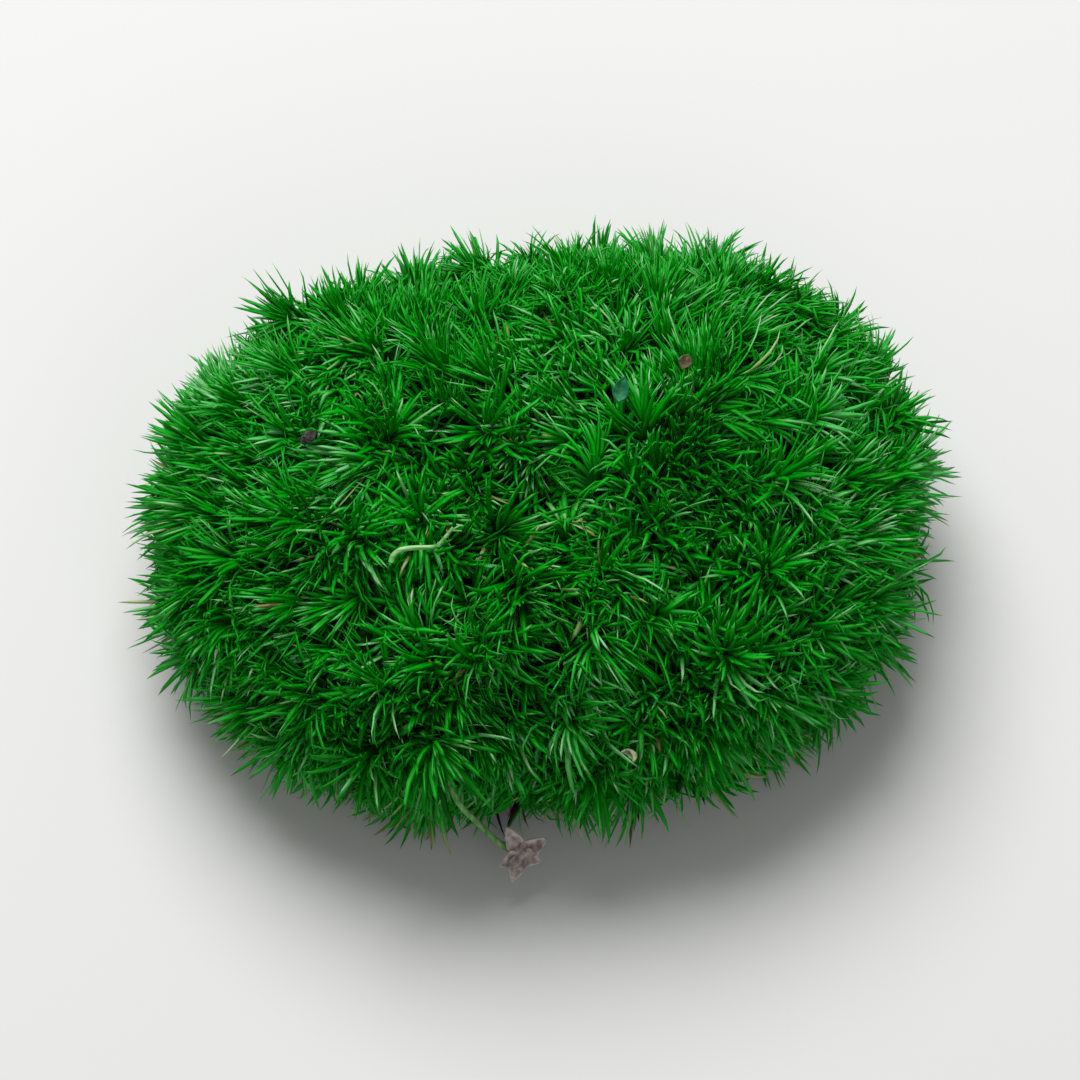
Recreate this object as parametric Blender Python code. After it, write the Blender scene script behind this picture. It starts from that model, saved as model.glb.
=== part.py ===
"""A clump of cushion moss, lifted whole from the ground and cut off flat underneath.

The clump is a low dome of upright shoots on a brown mat of dead shoots, rhizoids and humus.
The dome's skirt overhangs the mat. A few dry scraps are caught in it.

Units are metres, +Z is up, and the origin is the middle of the flat cut that the clump rests on.
The wide side of the clump lies along X, and -Y is its front.
Run with: blender --background --python part.py
"""

import math

import bmesh
import bpy
from mathutils import Matrix, Vector, noise
from mathutils.bvhtree import BVHTree

# Driving dimensions. The dome is measured over the tips of its leaves.
CLUMP_WIDTH = 0.105
CLUMP_DEPTH = 0.081
CLUMP_HEIGHT = 0.0435
TOUCHING_GAP = 0.0004

# The dome's outline seen from above is a squarish oval with soft lobes and one bay in its front.
# A lobe row is: how many crests round the clump, their share of the radius, and where one stands.
PLAN_SQUARENESS = 2.4
PLAN_LOBES = ((2, 0.039, 51), (3, 0.021, 33), (4, 0.008, -14))
BAY_DIRECTION = -96
BAY_SPREAD = 9
BAY_SHARE = 0.05

# Heights and radii that follow from them. Every radius is a share of the clump's own, which
# changes round the clump as plan_radius says.
HALF_WIDTH = CLUMP_WIDTH / 2
WIDEST_HEIGHT = 0.38 * CLUMP_HEIGHT
SKIRT_HEIGHT = 0.15 * CLUMP_HEIGHT
SKIRT_RADIUS = 0.90 * HALF_WIDTH
MAT_THICKNESS = 0.29 * CLUMP_HEIGHT
MAT_SHOULDER_HEIGHT = 0.10 * CLUMP_HEIGHT
MAT_RADIUS = 0.86 * HALF_WIDTH
CUT_RADIUS = 0.79 * HALF_WIDTH
CUT_EDGE_HEIGHT = 0.028 * CLUMP_HEIGHT
RECESS_START = math.radians(72)

# How square the domed outlines are, seen from the side: 2 is an ellipse.
DOME_SQUARENESS = 2.35
MAT_SQUARENESS = 2.2

# How finely the bodies are faceted.
TURN_STEPS = 72
DOME_STEPS = 18
SKIRT_STEPS = 5
RECESS_STEPS = 7
MAT_STEPS = 10
STALK_SIDES = 8
FLAKE_CORNERS = 24

# Soft swellings and hollows of the dome: (x, y, rise, spread), in metres.
MOUNDS = (
    (0.010, 0.020, 0.0016, 0.016),
    (-0.026, 0.004, 0.0018, 0.014),
    (0.028, -0.004, 0.0014, 0.013),
    (-0.002, -0.026, 0.0012, 0.012),
    (0.000, -0.005, -0.0036, 0.010),
    (-0.020, -0.022, -0.0008, 0.009),
    (0.016, -0.016, -0.0010, 0.007),
)
TUFT_SIZE = 0.0085
TUFT_RISE = 0.0011
MAT_GRAIN_SIZE = 0.006
MAT_GRAIN_RISE = 0.0006


def plan_radius(angle):
    """Distance from the middle to the dome's widest line in this direction, seen from above."""
    across = abs(math.cos(angle) / HALF_WIDTH) ** PLAN_SQUARENESS
    along = abs(math.sin(angle) / (CLUMP_DEPTH / 2)) ** PLAN_SQUARENESS
    oval = (across + along) ** (-1 / PLAN_SQUARENESS)
    share = 1
    for crests, rise, direction in PLAN_LOBES:
        share += rise * math.cos(crests * (angle - math.radians(direction)))
    off_bay = (math.degrees(angle) - BAY_DIRECTION) / BAY_SPREAD
    return oval * (share - BAY_SHARE * math.exp(-(off_bay**2)))


def superellipse_arc(radius, low, high, start, end, steps, squareness):
    """Points (r, z) of a dome's outline. The angle runs from 0 at the crown to 90 degrees at its foot."""
    points = []
    for i in range(steps + 1):
        angle = start + (end - start) * i / steps
        r = radius * abs(math.sin(angle)) ** (2 / squareness)
        z = low + (high - low) * abs(math.cos(angle)) ** (2 / squareness)
        points.append((r, z))
    return points


def cushion_profile():
    """Half outline of the dome: crown, widest line, skirt, then the recess that sits on the mat."""
    dome = superellipse_arc(
        HALF_WIDTH, WIDEST_HEIGHT, CLUMP_HEIGHT, 0, math.pi / 2, DOME_STEPS, DOME_SQUARENESS
    )
    skirt = []
    for i in range(1, SKIRT_STEPS + 1):
        angle = math.pi / 2 * i / SKIRT_STEPS
        r = SKIRT_RADIUS + (HALF_WIDTH - SKIRT_RADIUS) * math.cos(angle)
        z = WIDEST_HEIGHT - (WIDEST_HEIGHT - SKIRT_HEIGHT) * math.sin(angle)
        skirt.append((r, z))
    recess = superellipse_arc(
        MAT_RADIUS,
        MAT_SHOULDER_HEIGHT + TOUCHING_GAP,
        MAT_THICKNESS + TOUCHING_GAP,
        RECESS_START,
        0,
        RECESS_STEPS,
        MAT_SQUARENESS,
    )
    return dome + skirt + recess


def mat_profile():
    """Half outline of the mat: its low domed top, its shoulder and its flat cut."""
    top = superellipse_arc(
        MAT_RADIUS, MAT_SHOULDER_HEIGHT, MAT_THICKNESS, 0, math.pi / 2, MAT_STEPS, MAT_SQUARENESS
    )
    cut_edge = (0.5 * (MAT_RADIUS + CUT_RADIUS), CUT_EDGE_HEIGHT)
    return top + [cut_edge, (CUT_RADIUS, 0), (0, 0)]


def turned(profile, steps):
    """A bmesh made by turning a half outline once round the Z axis."""
    bm = bmesh.new()
    line = [bm.verts.new((r, 0, z)) for r, z in profile]
    edges = [bm.edges.new(pair) for pair in zip(line, line[1:])]
    bmesh.ops.spin(
        bm,
        geom=line + edges,
        axis=(0, 0, 1),
        cent=(0, 0, 0),
        angle=2 * math.pi,
        steps=steps,
        use_merge=True,
    )
    bmesh.ops.remove_doubles(bm, verts=bm.verts, dist=1e-5)
    bmesh.ops.recalc_face_normals(bm, faces=bm.faces)
    return bm


def fit_to_plan(bm):
    """Draws a round body out to the clump's own outline."""
    for vert in bm.verts:
        angle = math.atan2(vert.co.y, vert.co.x)
        share = plan_radius(angle) / HALF_WIDTH
        vert.co.x *= share
        vert.co.y *= share


def smooth_step(low, high, value):
    t = max(0.0, min(1.0, (value - low) / (high - low)))
    return t * t * (3 - 2 * t)


def swell_dome(bm):
    """Adds the mounds, the hollow in the crown and the tufts, on the outside of the dome only."""
    bm.normal_update()
    moves = []
    for vert in bm.verts:
        inside = vert.normal.z < -0.2 or vert.co.z < SKIRT_HEIGHT + 0.0005
        if inside:
            continue
        fade = smooth_step(SKIRT_HEIGHT, WIDEST_HEIGHT, vert.co.z)
        above = smooth_step(WIDEST_HEIGHT, 0.7 * CLUMP_HEIGHT, vert.co.z)
        tuft = TUFT_RISE * noise.noise(vert.co / TUFT_SIZE)
        rise = 0.0
        for x, y, height, spread in MOUNDS:
            near = ((vert.co.x - x) ** 2 + (vert.co.y - y) ** 2) / spread**2
            rise += height * math.exp(-near)
        moves.append((vert, vert.normal * tuft * fade + Vector((0, 0, rise * above))))
    for vert, move in moves:
        vert.co += move


def roughen_mat(bm):
    """Gives the mat's side an uneven, torn look, and leaves its top and its flat cut alone."""
    for vert in bm.verts:
        if 0.0005 < vert.co.z < 0.5 * MAT_THICKNESS:
            outward = Vector((vert.co.x, vert.co.y, 0)).normalized()
            grain = noise.noise(vert.co / MAT_GRAIN_SIZE) - 0.5
            vert.co += outward * MAT_GRAIN_RISE * grain


def material(name, colour, roughness):
    """A Principled material. Colour is a linear red, green and blue."""
    made = bpy.data.materials.new(name)
    made.use_nodes = True
    shader = made.node_tree.nodes["Principled BSDF"]
    shader.inputs["Base Color"].default_value = (*colour, 1)
    shader.inputs["Roughness"].default_value = roughness
    shader.inputs["Metallic"].default_value = 0
    return made


def add_object(name, bm, look, smooth_angle=math.radians(50)):
    mesh = bpy.data.meshes.new(name)
    bm.to_mesh(mesh)
    bm.free()
    mesh.shade_smooth()
    mesh.set_sharp_from_angle(angle=smooth_angle)
    mesh.materials.append(look)
    made = bpy.data.objects.new(name, mesh)
    bpy.context.scene.collection.objects.link(made)
    return made


def moss_cushion():
    bm = turned(cushion_profile(), TURN_STEPS)
    fit_to_plan(bm)
    swell_dome(bm)
    return add_object("moss_cushion", bm, material("moss", (0.006, 0.22, 0.012), 0.6))


def root_mat():
    bm = turned(mat_profile(), TURN_STEPS)
    fit_to_plan(bm)
    roughen_mat(bm)
    return add_object("root_mat", bm, material("humus", (0.06, 0.04, 0.025), 0.9))


def surface_of(obj):
    """A search tree over the object's surface, for laying small pieces on it."""
    return BVHTree.FromPolygons(
        [vert.co.copy() for vert in obj.data.vertices],
        [tuple(face.vertices) for face in obj.data.polygons],
    )


def lie_on(surface, x, y, turn):
    """Where a small piece lies on the dome: its local +Z is the dome's normal at (x, y)."""
    place, normal, _, _ = surface.ray_cast(Vector((x, y, 1)), Vector((0, 0, -1)))
    upright = Vector((0, 0, 1)).rotation_difference(normal).to_matrix().to_4x4()
    return Matrix.Translation(place) @ upright @ Matrix.Rotation(turn, 4, "Z")


def stalk(points, radii):
    """A bmesh of a thin stalk through these points, one ring to each, with closed ends."""
    bm = bmesh.new()
    rings = []
    for i, (point, radius) in enumerate(zip(points, radii)):
        before, after = points[max(i - 1, 0)], points[min(i + 1, len(points) - 1)]
        turn = (Vector(after) - Vector(before)).to_track_quat("Z", "Y").to_matrix()
        place = Matrix.Translation(point) @ turn.to_4x4()
        ring = bmesh.ops.create_circle(bm, segments=STALK_SIDES, radius=radius, matrix=place)
        rings.append(ring["verts"])
    for low, high in zip(rings, rings[1:]):
        for i in range(STALK_SIDES):
            j = (i + 1) % STALK_SIDES
            bm.faces.new((low[i], low[j], high[j], high[i]))
    bm.faces.new(list(reversed(rings[0])))
    bm.faces.new(rings[-1])
    bmesh.ops.recalc_face_normals(bm, faces=bm.faces)
    return bm


def flake(reach, thickness, lobes, depth, stretch, curl):
    """A bmesh of a thin dry flake round the origin, its lobes curling up by curl at their ends."""
    bm = bmesh.new()
    bmesh.ops.create_circle(bm, cap_ends=True, segments=FLAKE_CORNERS, radius=reach)
    for vert in bm.verts:
        angle = math.atan2(vert.co.y, vert.co.x)
        share = 1 - depth * (0.5 - 0.5 * math.cos(lobes * angle))
        vert.co *= share
        vert.co.x *= stretch
    bmesh.ops.poke(bm, faces=bm.faces)
    bmesh.ops.solidify(bm, geom=bm.faces, thickness=thickness)
    for vert in bm.verts:
        far = min(1.0, Vector((vert.co.x, vert.co.y)).length / reach)
        vert.co.z += curl * far * far
    bmesh.ops.recalc_face_normals(bm, faces=bm.faces)
    low = min(vert.co.z for vert in bm.verts)
    bmesh.ops.translate(bm, verts=bm.verts, vec=(0, 0, -low))
    return bm


def add_flake(name, surface, x, y, turn, lift, look, **shape):
    """A flake lying on the dome, lift above it so that its flat middle clears the dome's curve."""
    bm = flake(**shape)
    bm.transform(lie_on(surface, x, y, turn) @ Matrix.Translation((0, 0, lift)))
    return add_object(name, bm, look)


def pale_straw(surface):
    """A short dry straw with one kink, lying across the left of the crown."""
    points = [
        (-0.0042, -0.0005, 0.0016),
        (-0.0015, 0.0001, 0.0013),
        (0.0018, 0.0, 0.0013),
        (0.0040, 0.0020, 0.0019),
    ]
    bm = stalk(points, [0.00050, 0.00044, 0.00040, 0.00036])
    bm.transform(lie_on(surface, -0.0147, -0.0153, math.radians(4)))
    look = material("dry_straw", (0.25, 0.36, 0.14), 0.6)
    return add_object("pale_straw", bm, look)


def dried_calyx():
    """The papery star of a dried flower at the clump's front foot, and the green stalk that it hangs on."""
    star = flake(0.0042, 0.00045, lobes=5, depth=0.62, stretch=1.0, curl=0.0016)
    facing = Matrix.Rotation(math.radians(38), 4, "X")
    turn = Matrix.Rotation(math.radians(40), 4, "Z")
    star.transform(Matrix.Translation((-0.0022, -0.0425, 0.0062)) @ facing @ turn)
    paper = material("dry_petal", (0.30, 0.22, 0.20), 0.8)
    add_object("calyx_star", star, paper)
    points = [
        (-0.0056, -0.0431, 0.0095),
        (-0.0070, -0.0434, 0.0134),
        (-0.0087, -0.0434, 0.0176),
        (-0.0106, -0.0430, 0.0218),
    ]
    bm = stalk(points, [0.00048, 0.00042, 0.00040, 0.00038])
    add_object("calyx_stalk", bm, material("green_stalk", (0.06, 0.20, 0.04), 0.5))


def scraps(surface):
    """Bits of other plants that are caught among the leaf tips."""
    brown = material("brown_bark", (0.045, 0.03, 0.022), 0.9)
    pink = material("dry_scale", (0.26, 0.17, 0.15), 0.8)
    beige = material("pale_chaff", (0.34, 0.34, 0.24), 0.8)
    green = material("leaf_bit", (0.01, 0.12, 0.05), 0.5)
    add_flake(
        "brown_flake", surface, -0.0302, 0.0011, 0.4, 0.0007, brown,
        reach=0.0013, thickness=0.0005, lobes=3, depth=0.25, stretch=1.2, curl=0.0003,
    )
    add_flake(
        "pink_flake", surface, 0.0190, 0.0108, 1.1, 0.0007, pink,
        reach=0.0011, thickness=0.0004, lobes=2, depth=0.3, stretch=1.3, curl=0.0004,
    )
    add_flake(
        "pale_flake", surface, 0.0122, -0.0368, 2.0, 0.0010, beige,
        reach=0.0018, thickness=0.0004, lobes=3, depth=0.45, stretch=1.1, curl=0.0009,
    )
    add_flake(
        "leaf_bit", surface, 0.0109, 0.0066, 1.3, 0.0008, green,
        reach=0.0014, thickness=0.0004, lobes=1, depth=0.2, stretch=1.35, curl=0.0005,
    )


def centre_on_origin():
    """Moves every piece so that the middle of the whole clump's box stands over the origin."""
    corners = []
    for obj in bpy.data.objects:
        corners += [vert.co for vert in obj.data.vertices]
    middle_x = 0.5 * (min(c.x for c in corners) + max(c.x for c in corners))
    middle_y = 0.5 * (min(c.y for c in corners) + max(c.y for c in corners))
    for obj in bpy.data.objects:
        obj.data.transform(Matrix.Translation((-middle_x, -middle_y, 0)))


def main():
    for obj in list(bpy.data.objects):
        bpy.data.objects.remove(obj)
    cushion = moss_cushion()
    root_mat()
    dome = surface_of(cushion)
    pale_straw(dome)
    dried_calyx()
    scraps(dome)
    centre_on_origin()


main()
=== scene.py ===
# %% [markdown]
# # A clump of cushion moss
#
# The real thing is a low dome of broom moss, about as wide as a hand. It was lifted from the ground
# with the brown mat that it grew on, and cut off flat underneath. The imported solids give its
# envelope: everything below is grown to fill that envelope, in metres, with +Z up.

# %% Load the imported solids
import math

import bmesh
import bpy
import numpy as np
from mathutils import Matrix, Vector
from mathutils.bvhtree import BVHTree


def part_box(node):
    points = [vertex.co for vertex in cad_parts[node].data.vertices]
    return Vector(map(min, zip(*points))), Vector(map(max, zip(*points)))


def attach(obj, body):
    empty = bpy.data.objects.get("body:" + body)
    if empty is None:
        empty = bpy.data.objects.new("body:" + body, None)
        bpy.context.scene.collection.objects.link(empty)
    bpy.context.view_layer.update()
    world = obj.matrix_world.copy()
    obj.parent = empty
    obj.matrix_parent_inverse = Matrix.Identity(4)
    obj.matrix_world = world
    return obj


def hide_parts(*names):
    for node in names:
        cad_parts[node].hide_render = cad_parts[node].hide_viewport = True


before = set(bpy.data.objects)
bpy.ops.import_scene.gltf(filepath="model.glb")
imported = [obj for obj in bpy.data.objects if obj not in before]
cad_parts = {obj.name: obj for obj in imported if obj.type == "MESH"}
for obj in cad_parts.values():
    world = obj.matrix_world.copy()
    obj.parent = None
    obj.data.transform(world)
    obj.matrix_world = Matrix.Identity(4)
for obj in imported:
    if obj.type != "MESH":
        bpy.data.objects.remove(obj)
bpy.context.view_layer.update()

MM = 0.001
print("solids:", sorted(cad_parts))

# %% [markdown]
# ## Colours and nodes
#
# A colour is given as an sRGB hex value. Blender's sockets want linear light, so one function
# turns it. Another adds a node with its settings and links, so a material reads from top to bottom.


# %% Colour and node helpers
def linear(hex_colour):
    """The linear red, green, blue and alpha of an sRGB hex colour such as #0C7A12."""
    parts = [int(hex_colour[i : i + 2], 16) / 255 for i in (1, 3, 5)]
    light = [p / 12.92 if p <= 0.04045 else ((p + 0.055) / 1.055) ** 2.4 for p in parts]
    return (*light, 1)


def add_node(tree, kind, links=None, stops=None, **settings):
    """Adds a node and returns it.

    A setting named in_NAME or in_0 fills a socket, and any other is an attribute of the node.
    links maps sockets to outputs. stops are a ramp's places from 0 to 1 with their hex colours.
    """
    node = tree.nodes.new(kind)
    for name, value in settings.items():
        if name.startswith("in_"):
            key = name[3:]
            socket = node.inputs[int(key) if key.isdigit() else key.replace("_", " ")]
            socket.default_value = value
        else:
            setattr(node, name, value)
    for key, source in (links or {}).items():
        tree.links.new(source, node.inputs[key])
    for i, (place, colour) in enumerate(stops or []):
        elements = node.color_ramp.elements
        element = elements[i] if i < len(elements) else elements.new(place)
        element.position = place
        element.color = linear(colour)
    return node


def new_material(name, roughness, ior=1.45, **sockets):
    """A material with one Principled shader. Returns the material, its node tree and the shader."""
    made = bpy.data.materials.new(name)
    made.use_nodes = True
    shader = made.node_tree.nodes["Principled BSDF"]
    shader.inputs["Roughness"].default_value = roughness
    shader.inputs["IOR"].default_value = ior
    for key, value in sockets.items():
        shader.inputs[key.replace("_", " ")].default_value = value
    return made, made.node_tree, shader


# %% [markdown]
# ## Moss leaves
#
# A broom moss leaf is one cell thick, narrow, folded along a keel and drawn out to a point.
# Young leaves are a clear green and a little glossy, because their cells stand full and smooth.
# Old ones lower on the shoot are dark, and dead ones are straw coloured, then brown.
#
# Tens of thousands of leaves share one material. Each leaf carries its own tone in the U of its UV
# map, and V rises along it and towards the top of the clump. V is painted light: painted shade at the
# foot and deep between the leaves, partly the darker old leaves there, and a painted highlight where
# a leaf lies level near the top. So one small chart of colours holds every leaf: U picks how young,
# dry or pale it is, and V fades it from a dark foot to a paler tip.


# %% Leaf material
def moss_leaf():
    """Living moss leaf: satin, clear green, with a painted highlight where it lies level near the top
    and painted shade at the foot.
    """
    made, tree, shader = new_material(
        "moss_leaf", roughness=0.38, ior=1.45, Specular_IOR_Level=0.14
    )
    chart = add_node(tree, "ShaderNodeUVMap", uv_map="OFBake")
    parts = add_node(tree, "ShaderNodeSeparateXYZ", {"Vector": chart.outputs["UV"]})
    tone, along = parts.outputs["X"], parts.outputs["Y"]
    # The foot ramp is painted shade: dark where a leaf sits deep between the others, and partly old
    # leaves.
    painted_shade_stops = [(0.0, "#003204"), (0.80, "#004806"), (0.93, "#3A3A1C"), (1.0, "#1D120B")]
    blade_stops = [
        (0.0, "#007006"),
        (0.40, "#008A08"),
        (0.78, "#009E0C"),
        (0.84, "#18A424"),
        (0.91, "#58AE58"),
        (0.95, "#98A262"),
        (0.975, "#76703F"),
        (1.0, "#463823"),
    ]
    # The upper ramp is a painted highlight: pale where a leaf lies level near the top of the clump.
    painted_highlight_stops = [
        (0.0, "#00860A"),
        (0.32, "#069A12"),
        (0.52, "#22A82E"),
        (0.66, "#4CB256"),
        (0.78, "#76C27A"),
        (0.86, "#92CC92"),
        (0.93, "#B4C492"),
        (0.975, "#948C5C"),
        (1.0, "#57462F"),
    ]
    foot = add_node(tree, "ShaderNodeValToRGB", {"Fac": tone}, painted_shade_stops)
    blade = add_node(tree, "ShaderNodeValToRGB", {"Fac": tone}, blade_stops)
    sky = add_node(tree, "ShaderNodeValToRGB", {"Fac": tone}, painted_highlight_stops)
    rise = add_node(
        tree,
        "ShaderNodeMapRange",
        {"Value": along},
        interpolation_type="SMOOTHSTEP",
        in_From_Min=0.02,
        in_From_Max=0.5,
    )
    painted_highlight_share = add_node(
        tree,
        "ShaderNodeMapRange",
        {"Value": along},
        interpolation_type="SMOOTHSTEP",
        in_From_Min=0.62,
        in_From_Max=1.0,
    )
    lower = add_node(
        tree,
        "ShaderNodeMix",
        {"Factor": rise.outputs["Result"], 6: foot.outputs["Color"], 7: blade.outputs["Color"]},
        data_type="RGBA",
    )
    whole = add_node(
        tree,
        "ShaderNodeMix",
        {"Factor": painted_highlight_share.outputs["Result"], 6: lower.outputs[2], 7: sky.outputs["Color"]},
        data_type="RGBA",
    )
    tree.links.new(whole.outputs[2], shader.inputs["Base Color"])
    return made


MOSS_LEAF = moss_leaf()
print("material:", MOSS_LEAF.name, "with", len(MOSS_LEAF.node_tree.nodes), "nodes")


# %% [markdown]
# ## One leaf, then many
#
# A straight blade is modelled: a three-sided ring, extruded from station to station and
# merged to a point. It is one unit long and one unit wide. There are two: a long leaf for full-grown
# shoots, and a slimmer one with fewer stations for slender shoots. Every leaf on the clump is one of
# them bent along its own curve. Blender could copy it with instances, but each leaf bends its own
# way, so arrays work out all the curves at once and the results are joined in a few large meshes.


# %% The blade
# A leaf is folded, but flatter than a triangle with three even sides.
KEEL_DEPTH = 0.5


def places_of(verts):
    """The places of some vertices, one row to each."""
    return np.array([v.co[:] for v in verts])


def arrays_of(bm):
    """A bmesh's points, and its faces as rows of point numbers. The bmesh is freed."""
    bm.verts.index_update()
    points = places_of(bm.verts)
    corners = np.array([[v.index for v in f.verts] for f in bm.faces])
    bm.free()
    return points, corners


def blade_mesh(stations):
    """Points and triangles of a closed three-sided blade from z = 0 to its tip at z = 1.

    A station is a height and the blade's width there.
    """
    bm = bmesh.new()
    bmesh.ops.create_circle(bm, cap_ends=True, segments=3, radius=1 / math.sqrt(3))
    face = bm.faces[:][0]
    first = stations[0][1]
    bmesh.ops.scale(bm, verts=bm.verts, vec=(first, first * KEEL_DEPTH, 1))
    width = first
    for height, next_width in stations[1:]:
        face = bmesh.ops.extrude_discrete_faces(bm, faces=[face])["faces"][0]
        share = next_width / width
        centre = face.calc_center_median()
        bmesh.ops.scale(bm, verts=face.verts, vec=(share, share, 1))
        bmesh.ops.translate(bm, verts=face.verts, vec=(0, 0, height - centre.z))
        width = next_width
    top = bmesh.ops.extrude_discrete_faces(bm, faces=[face])["faces"][0]
    bmesh.ops.pointmerge(bm, verts=top.verts, merge_co=(0, 0, 1))
    bmesh.ops.recalc_face_normals(bm, faces=bm.faces)
    bmesh.ops.triangulate(bm, faces=bm.faces)
    return arrays_of(bm)


LONG_LEAF = blade_mesh(((0, 0.7), (0.18, 1.0), (0.42, 0.92), (0.64, 0.74), (0.85, 0.5)))
SLIM_LEAF = blade_mesh(((0, 0.7), (0.24, 1.0), (0.54, 0.84), (0.82, 0.54)))
for name, leaf in (("long", LONG_LEAF), ("slim", SLIM_LEAF)):
    print(name, "leaf:", len(leaf[0]), "points,", len(leaf[1]), "triangles")


# %% Bend many blades at once
def unit(vectors):
    """The vectors brought to a length of 1."""
    return vectors / np.maximum(np.linalg.norm(vectors, axis=-1, keepdims=True), 1e-12)


def bent_blades(blade, foot, axis, outward, length, width, lean, turn, pull, twist, steps=12):
    """Points of blades, one row to each, and how level the blade lies at each point.

    A blade starts at its foot, leans from axis towards outward by lean radians, and turns by turn
    radians more on its way to the tip. pull is a vector that draws its upper part aside. twist
    turns the blade about its own length.
    """
    t = (np.arange(steps) + 0.5) / steps
    angle = lean[:, None] + turn[:, None] * t**1.5
    heading = (
        np.cos(angle)[..., None] * axis[:, None]
        + np.sin(angle)[..., None] * outward[:, None]
        + (t**1.3)[None, :, None] * pull[:, None]
    )
    heading = unit(heading)
    path = np.cumsum(heading, axis=1) * (length / steps)[:, None, None]
    path = np.concatenate([np.zeros_like(path[:, :1]), path], axis=1) + foot[:, None]
    heading = np.concatenate([heading[:, :1], heading], axis=1)
    points, _ = blade
    at = points[:, 2] * steps
    low = np.minimum(at.astype(int), steps - 1)
    share = (at - low)[None, :, None]
    centre = path[:, low] * (1 - share) + path[:, low + 1] * share
    along = unit(heading[:, low] * (1 - share) + heading[:, low + 1] * share)
    across = np.cross(axis, outward)[:, None]
    across = unit(across - (across * along).sum(-1, keepdims=True) * along)
    keel = np.cross(along, across)
    roll = twist[:, None, None] * points[None, :, 2:3]
    side = across * np.cos(roll) + keel * np.sin(roll)
    back = keel * np.cos(roll) - across * np.sin(roll)
    wide = width[:, None, None]
    places = centre + side * points[None, :, 0:1] * wide - back * points[None, :, 1:2] * wide
    return places, 1 - np.abs(along[..., 2])


def joined_blades(name, groups, material):
    """One mesh object from groups of blades. Tone is the U of its UV map, and V is age and painted
    light.

    A group is a blade, its rows of points, a tone for each row and a V for each point, of age and
    painted light. Each leaf is a narrow strip of the map, two half_strips wide and clear of the map's
    edges.
    """
    half_strip = 0.004
    spots, index, chart = [], [], []
    first = 0
    for blade, places, tone, age_and_painted_light in groups:
        points, corners = blade
        starts = first + np.arange(len(places)) * len(points)
        spots.append(places.reshape(-1, 3))
        index.append((corners[None] + starts[:, None, None]).ravel())
        first += len(places) * len(points)
        middle = np.clip(tone, half_strip, 1 - half_strip)[:, None]
        u = middle + points[:, 0][corners.ravel()][None] * 2 * half_strip
        v = 0.01 + 0.98 * age_and_painted_light[:, corners.ravel()]
        chart.append(np.stack([u, v], -1).reshape(-1, 2))
    spots, index, chart = (np.concatenate(parts) for parts in (spots, index, chart))
    mesh = bpy.data.meshes.new(name)
    mesh.vertices.add(len(spots))
    mesh.vertices.foreach_set("co", spots.astype(np.float32).ravel())
    mesh.loops.add(len(index))
    mesh.loops.foreach_set("vertex_index", index.astype(np.int32))
    mesh.polygons.add(len(index) // 3)
    mesh.polygons.foreach_set("loop_start", np.arange(0, len(index), 3, dtype=np.int32))
    mesh.update(calc_edges=True)
    mesh.uv_layers.new(name="OFBake").data.foreach_set("uv", chart.astype(np.float32).ravel())
    mesh.shade_smooth()
    mesh.validate()
    mesh.materials.append(material)
    made = bpy.data.objects.new(name, mesh)
    bpy.context.scene.collection.objects.link(made)
    print(name, sum(len(g[1]) for g in groups), "copies,", len(mesh.polygons), "triangles")
    return made


# %% [markdown]
# ## Where the shoots stand
#
# The dome is hundreds of shoots pressed together, and each ends in a star of leaves. Full-grown
# shoots stand seven to nine millimetres apart, and slender ones fill in between them, about four
# millimetres from their neighbours. Points are thrown at the envelope solid at random, and a point
# is kept only where no earlier one is too near. That spacing looks grown: even, but never a grid.


# %% Surfaces of the solids
def surface_tree(node):
    """A search tree over a CAD node's triangles, with the triangles' corners as an array."""
    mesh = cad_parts[node].data
    points = places_of(mesh.vertices)
    faces = [tuple(p.vertices) for p in mesh.polygons]
    tree = BVHTree.FromPolygons([Vector(p) for p in points], faces)
    return tree, points[np.array([f[:3] for f in faces])]


dome_tree, dome_triangles = surface_tree("moss_cushion")
mat_tree, mat_triangles = surface_tree("root_mat")
dome_low, dome_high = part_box("moss_cushion")
mat_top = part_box("root_mat")[1].z
print("dome, mm:", [round(v / MM, 1) for v in (*dome_low, *dome_high)])


# %% Throw the shoots
def throw(triangles, tries, seed):
    """Random points spread evenly over triangles, with their normals."""
    dice = np.random.default_rng(seed)
    a, b, c = triangles[:, 0], triangles[:, 1], triangles[:, 2]
    cross = np.cross(b - a, c - a)
    area = np.linalg.norm(cross, axis=1)
    pick = dice.choice(len(triangles), size=tries, p=area / area.sum())
    r1, r2 = np.sqrt(dice.random(tries))[:, None], dice.random(tries)[:, None]
    points = a[pick] * (1 - r1) + b[pick] * r1 * (1 - r2) + c[pick] * r1 * r2
    return points, unit(cross[pick])


def scatter(triangles, tries, gap, seed, keep, taken=None):
    """Thrown points and their normals, where keep is true, none too near another or one taken.

    gap works out how near is too near at each point.
    """
    points, normals = throw(triangles, tries, seed)
    wanted = keep(points)
    points, normals = points[wanted], normals[wanted]
    gaps = gap(points)
    taken = np.zeros((0, 3)) if taken is None else taken
    crowd = np.concatenate([taken, points])
    kept = list(range(len(taken)))
    for i in range(len(taken), len(crowd)):
        near = crowd[kept] - crowd[i]
        if not kept or (near * near).sum(1).min() > gaps[i - len(taken)] ** 2:
            kept.append(i)
    new = np.array(kept[len(taken) :]) - len(taken)
    return points[new], normals[new]


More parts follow.
